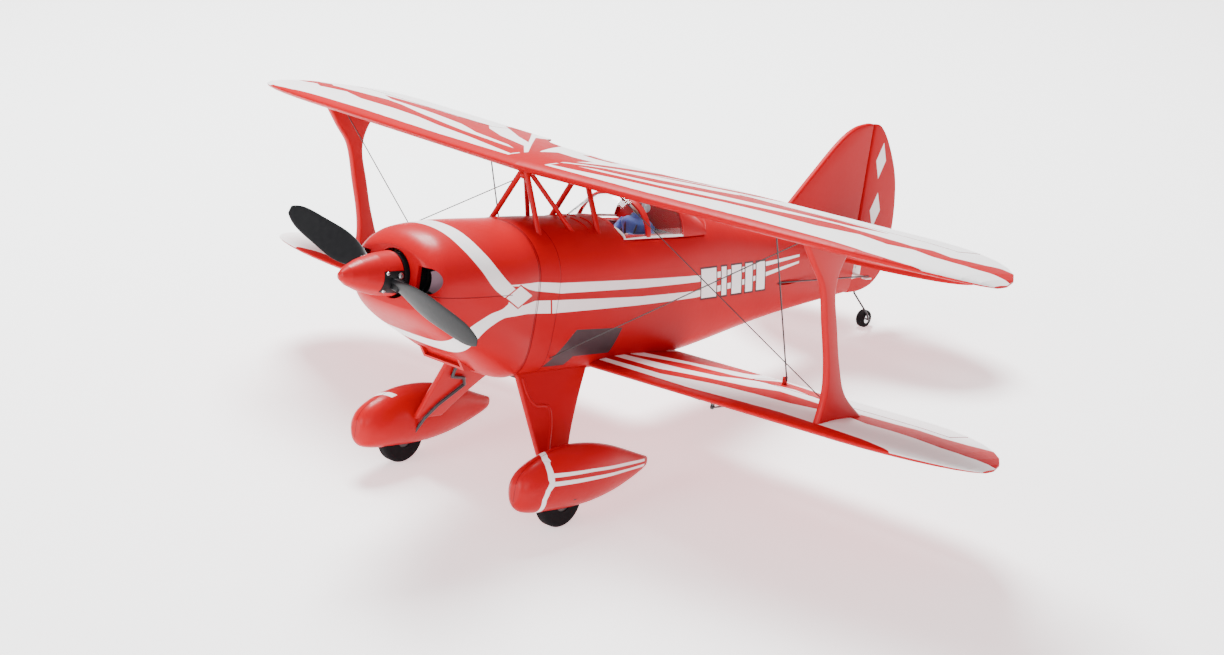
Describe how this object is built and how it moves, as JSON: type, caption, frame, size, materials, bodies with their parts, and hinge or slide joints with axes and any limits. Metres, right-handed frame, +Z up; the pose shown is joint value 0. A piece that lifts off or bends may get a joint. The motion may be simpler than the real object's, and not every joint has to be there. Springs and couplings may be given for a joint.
{
  "type": "rc biplane",
  "caption": "Foam radio-control aerobatic biplane with a tractor propeller, fixed spatted undercarriage, steerable tail wheel and working control surfaces.",
  "frame": {"origin": "on the ground, under the middle of the bounding box", "axes": "+Z up with the aircraft standing on its three wheels, -Y towards the nose, +X to the aircraft's port side"},
  "size_m": [0.433, 0.3802, 0.1473],
  "materials": {
    "red_foam": "painted foam, satin red with white trim",
    "red_plastic": "moulded plastic, glossy red",
    "black_prop": "satin black nylon",
    "clear_canopy": "clear moulded plastic",
    "tyre_foam": "matte black foam rubber",
    "hub_metal": "bright turned metal",
    "hub_plastic": "black moulded plastic",
    "dark_plate": "dark grey satin panel",
    "steel_wire": "bent spring steel wire",
    "rigging": "thin dark elastic rigging line",
    "pilot_cloth": "painted figure in a blue suit",
    "bare_board": "circuit board with black chips",
    "battery_wrap": "shrink-wrapped cell pack",
    "servo_case": "black moulded servo case",
    "cockpit_black": "dark grey cockpit lining",
    "tray_wood": "thin laser-cut ply",
    "motor_metal": "anodised dark metal"
  },
  "bodies": {
    "airframe": {"fuselage_left": "red_foam", "fuselage_right": "red_foam", "cowl_upper": "red_plastic", "cowl_lower": "red_plastic", "cooling_outlets": "dark_plate", "upper_wing": "red_foam", "lower_wing_left": "red_foam", "lower_wing_right": "red_foam", "interplane_strut_left": "red_plastic", "interplane_strut_right": "red_plastic", "cabane_front": "red_plastic", "cabane_rear": "red_plastic", "cabane_braces": "red_plastic", "rigging_wires": "rigging", "fin": "red_foam", "stabilizer": "red_foam", "gear_fairings": "red_plastic", "gear_wire": "steel_wire", "wheel_pants": "red_plastic", "pant_screws": "steel_wire", "firewall": "tray_wood", "motor_mount": "hub_plastic", "motor_stator": "motor_metal", "battery": "battery_wrap", "equipment_trays": "tray_wood", "control_board": "bare_board", "fuselage_servos": "servo_case", "aileron_servos": "servo_case"},
    "hatch": {"hatch_frame": "red_foam", "canopy_glass": "clear_canopy", "cockpit_tub": "cockpit_black", "pilot": "pilot_cloth"},
    "prop_assembly": {"spinner": "red_plastic", "propeller": "black_prop", "prop_nut": "hub_metal", "motor_bell": "motor_metal", "motor_shaft": "steel_wire"},
    "main_wheel_left": {"tyre_left": "tyre_foam", "wheel_hub_left": "hub_plastic"},
    "main_wheel_right": {"tyre_right": "tyre_foam", "wheel_hub_right": "hub_plastic"},
    "rudder_group": {"rudder": "red_foam", "tail_wheel_wire": "steel_wire"},
    "tail_wheel": {"tail_tyre": "tyre_foam", "tail_wheel_hub": "hub_metal"},
    "elevator_group": {"elevator": "red_foam"},
    "lower_aileron_left": {"aileron_lower_left": "red_foam"},
    "lower_aileron_right": {"aileron_lower_right": "red_foam"},
    "upper_aileron_left": {"aileron_upper_left": "red_foam"},
    "upper_aileron_right": {"aileron_upper_right": "red_foam"},
    "elevator_rod": {"elevator_pushrod": "steel_wire"},
    "rudder_rod": {"rudder_pushrod": "steel_wire"},
    "elevator_arm": {"elevator_servo_arm": "hub_plastic"},
    "rudder_arm": {"rudder_servo_arm": "hub_plastic"},
    "aileron_arm_left": {"aileron_servo_arm_left": "hub_plastic"},
    "aileron_arm_right": {"aileron_servo_arm_right": "hub_plastic"},
    "aileron_rod_left": {"aileron_pushrod_left": "steel_wire"},
    "aileron_rod_right": {"aileron_pushrod_right": "steel_wire"},
    "link_left": {"aileron_link_left": "steel_wire"},
    "link_right": {"aileron_link_right": "steel_wire"}
  },
  "joints": [
    {"name": "hatch_lift", "type": "slide", "parent": "airframe", "child": "hatch", "axis": [0, 0.8854, 0.4649], "range_m": [0, 0.06]},
    {"name": "prop_spin", "type": "hinge", "parent": "airframe", "child": "prop_assembly", "pos_m": [0, -0.1677, 0.11689], "axis": [0, -0.9778, 0.2097], "continuous": true},
    {"name": "wheel_spin_left", "type": "hinge", "parent": "airframe", "child": "main_wheel_left", "pos_m": [0.05, -0.114, 0.012], "axis": [1, 0, 0], "continuous": true},
    {"name": "wheel_spin_right", "type": "hinge", "parent": "airframe", "child": "main_wheel_right", "pos_m": [-0.05, -0.114, 0.012], "axis": [1, 0, 0], "continuous": true},
    {"name": "rudder_hinge", "type": "hinge", "parent": "airframe", "child": "rudder_group", "pos_m": [0, 0.1599, 0.06403], "axis": [0, 0.2097, 0.9778], "range_deg": [-25, 25]},
    {"name": "tail_wheel_spin", "type": "hinge", "parent": "rudder_group", "child": "tail_wheel", "pos_m": [0, 0.16853, 0.0046], "axis": [1, 0, 0], "continuous": true},
    {"name": "elevator_hinge", "type": "hinge", "parent": "airframe", "child": "elevator_group", "pos_m": [0, 0.15262, 0.0482], "axis": [1, 0, 0], "range_deg": [-25, 25]},
    {"name": "aileron_lower_left_hinge", "type": "hinge", "parent": "airframe", "child": "lower_aileron_left", "pos_m": [0.129, -0.01548, 0.04582], "axis": [0.9993, 0.0077, 0.0358], "range_deg": [-20, 20]},
    {"name": "aileron_lower_right_hinge", "type": "hinge", "parent": "airframe", "child": "lower_aileron_right", "pos_m": [-0.129, -0.01548, 0.04582], "axis": [0.9993, -0.0077, -0.0358], "range_deg": [-20, 20]},
    {"name": "aileron_upper_left_hinge", "type": "hinge", "parent": "airframe", "child": "upper_aileron_left", "pos_m": [0.129, -0.02209, 0.13148], "axis": [0.9942, 0.1056, -0.0226], "range_deg": [-20, 20]},
    {"name": "aileron_upper_right_hinge", "type": "hinge", "parent": "airframe", "child": "upper_aileron_right", "pos_m": [-0.129, -0.02209, 0.13148], "axis": [0.9942, -0.1056, 0.0226], "range_deg": [-20, 20]},
    {"name": "elevator_rod_slide", "type": "slide", "parent": "airframe", "child": "elevator_rod", "axis": [0, 0.9778, -0.2097], "range_m": [-0.00401, 0.00401]},
    {"name": "rudder_rod_slide", "type": "slide", "parent": "airframe", "child": "rudder_rod", "axis": [0, 0.9778, -0.2097], "range_m": [-0.00516, 0.00516]},
    {"name": "elevator_arm_turn", "type": "hinge", "parent": "airframe", "child": "elevator_arm", "pos_m": [-0.0105, -0.01678, 0.08146], "axis": [1, 0, 0], "range_deg": [-38.25, 38.25]},
    {"name": "rudder_arm_turn", "type": "hinge", "parent": "airframe", "child": "rudder_arm", "pos_m": [0.0105, -0.01741, 0.07853], "axis": [1, 0, 0], "range_deg": [-42.26, 42.26]},
    {"name": "aileron_arm_turn_left", "type": "hinge", "parent": "airframe", "child": "aileron_arm_left", "pos_m": [0.078, -0.04469, 0.0467], "axis": [1, 0, 0], "range_deg": [-36.16, 36.16]},
    {"name": "aileron_rod_slide_left", "type": "slide", "parent": "airframe", "child": "aileron_rod_left", "axis": [0, 0.9778, -0.2097], "range_m": [-0.00278, 0.00278]},
    {"name": "aileron_link_slide_left", "type": "slide", "parent": "airframe", "child": "link_left", "axis": [0, 0.2097, 0.9778], "range_m": [-0.0032, 0.0032]},
    {"name": "aileron_arm_turn_right", "type": "hinge", "parent": "airframe", "child": "aileron_arm_right", "pos_m": [-0.078, -0.04469, 0.0467], "axis": [1, 0, 0], "range_deg": [-36.16, 36.16]},
    {"name": "aileron_rod_slide_right", "type": "slide", "parent": "airframe", "child": "aileron_rod_right", "axis": [0, 0.9778, -0.2097], "range_m": [-0.00278, 0.00278]},
    {"name": "aileron_link_slide_right", "type": "slide", "parent": "airframe", "child": "link_right", "axis": [0, 0.2097, 0.9778], "range_m": [-0.0032, 0.0032]}
  ],
  "couplings": [
    {"joint": "aileron_lower_right_hinge", "follows": "aileron_lower_left_hinge", "ratio": -1},
    {"joint": "aileron_upper_left_hinge", "follows": "aileron_lower_left_hinge", "ratio": 1},
    {"joint": "aileron_upper_right_hinge", "follows": "aileron_lower_left_hinge", "ratio": -1},
    {"joint": "elevator_rod_slide", "follows": "elevator_hinge", "m_per_rad": 0.009},
    {"joint": "rudder_rod_slide", "follows": "rudder_hinge", "m_per_rad": 0.0116},
    {"joint": "elevator_arm_turn", "follows": "elevator_hinge", "ratio": 1.5},
    {"joint": "rudder_arm_turn", "follows": "rudder_hinge", "ratio": 1.6571},
    {"joint": "aileron_arm_turn_left", "follows": "aileron_lower_left_hinge", "ratio": 1.7727},
    {"joint": "aileron_rod_slide_left", "follows": "aileron_lower_left_hinge", "m_per_rad": 0.0078},
    {"joint": "aileron_link_slide_left", "follows": "aileron_lower_left_hinge", "m_per_rad": 0.009},
    {"joint": "aileron_arm_turn_right", "follows": "aileron_lower_left_hinge", "ratio": -1.7727},
    {"joint": "aileron_rod_slide_right", "follows": "aileron_lower_left_hinge", "m_per_rad": -0.0078},
    {"joint": "aileron_link_slide_right", "follows": "aileron_lower_left_hinge", "m_per_rad": -0.009}
  ]
}
